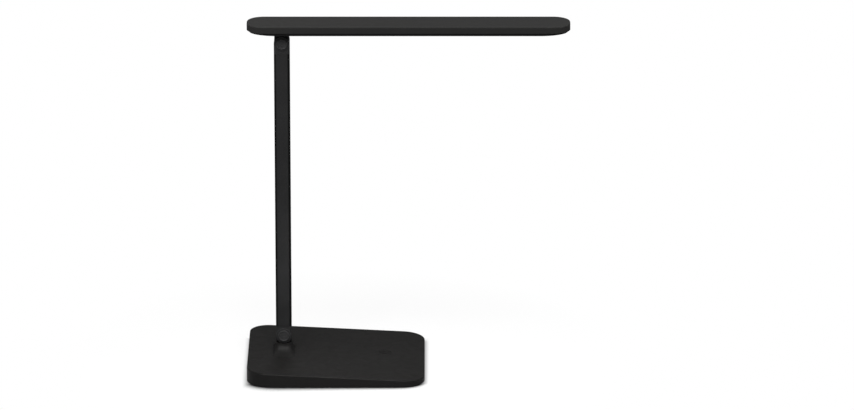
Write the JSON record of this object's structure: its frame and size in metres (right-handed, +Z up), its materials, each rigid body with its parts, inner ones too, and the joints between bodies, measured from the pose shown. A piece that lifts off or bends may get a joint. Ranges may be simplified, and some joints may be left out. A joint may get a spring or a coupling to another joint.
{
  "type": "led desk lamp",
  "caption": "Slim LED desk lamp: a flat round-ended lamp head on a straight flat arm, hinged at both ends over a wedge-shaped base with a dished key.",
  "frame": {"origin": "the post's axis at the table's surface, on the rubber mat's underside", "axes": "+X from the post towards the head's far end, +Y from front to back, +Z up"},
  "size_m": [0.3272, 0.157, 0.3623],
  "materials": {
    "base_plastic": "satin moulded plastic",
    "underside_plastic": "moulded plastic",
    "key_plastic": "satin moulded plastic",
    "head_plastic": "satin moulded plastic",
    "frame_plastic": "moulded plastic",
    "hinge_plastic": "satin moulded plastic",
    "cap_plastic": "semi-gloss moulded plastic",
    "arm_metal": "black anodised extrusion",
    "mat_rubber": "matt rubber",
    "ballast_steel": "zinc-plated sheet steel",
    "bracket_steel": "blackened steel",
    "screw_steel": "black zinc",
    "washer_nylon": "nylon",
    "circuit_board": "solder mask",
    "switch_plastic": "moulded plastic",
    "socket_metal": "nickel plated",
    "lead_sleeve": "soft sleeve",
    "opal_diffuser": "opal acrylic",
    "reflector_white": "white plastic",
    "led_board_metal": "white solder mask on aluminium",
    "chip_phosphor": "phosphor",
    "spreader_aluminium": "rolled sheet"
  },
  "bodies": {
    "base": {"base_cover": "base_plastic", "base_plate": "underside_plastic", "base_screws": "screw_steel", "rubber_mat": "mat_rubber", "ballast_plate": "ballast_steel", "lower_bracket": "bracket_steel", "bracket_screws": "screw_steel", "control_board": "circuit_board", "board_screws": "screw_steel", "key_switch": "switch_plastic", "socket_board": "circuit_board", "power_socket": "socket_metal", "power_lead": "lead_sleeve", "base_lead": "lead_sleeve"},
    "key": {"power_key": "key_plastic", "switch_plunger": "switch_plastic"},
    "arm": {"arm_tube": "arm_metal", "lower_fork": "hinge_plastic", "upper_fork": "hinge_plastic", "lower_pin": "screw_steel", "upper_pin": "screw_steel", "lower_washers": "washer_nylon", "upper_washers": "washer_nylon", "lower_nut": "screw_steel", "upper_nut": "screw_steel", "lower_front_cap": "cap_plastic", "lower_back_cap": "cap_plastic", "upper_front_cap": "cap_plastic", "upper_back_cap": "cap_plastic", "arm_lead": "lead_sleeve"},
    "head": {"head_cover": "head_plastic", "head_frame": "frame_plastic", "head_screws": "screw_steel", "diffuser": "opal_diffuser", "reflector_tray": "reflector_white", "led_board": "led_board_metal", "led_chips": "chip_phosphor", "heat_spreader": "spreader_aluminium", "upper_bracket": "bracket_steel", "lug_screws": "screw_steel", "head_lead": "lead_sleeve"}
  },
  "joints": [
    {"name": "arm_tilt", "type": "hinge", "parent": "base", "child": "arm", "pos_m": [0, 0, 0.0317], "axis": [0, 1, 0], "range_deg": [-30, 80]},
    {"name": "head_tilt", "type": "hinge", "parent": "arm", "child": "head", "pos_m": [0, 0, 0.3417], "axis": [0, 1, 0], "range_deg": [-45, 90]},
    {"name": "key_press", "type": "slide", "parent": "base", "child": "key", "axis": [-0.0498, 0, -0.9988], "range_m": [0, 0.0005], "stiffness_N_per_m": 2000}
  ]
}
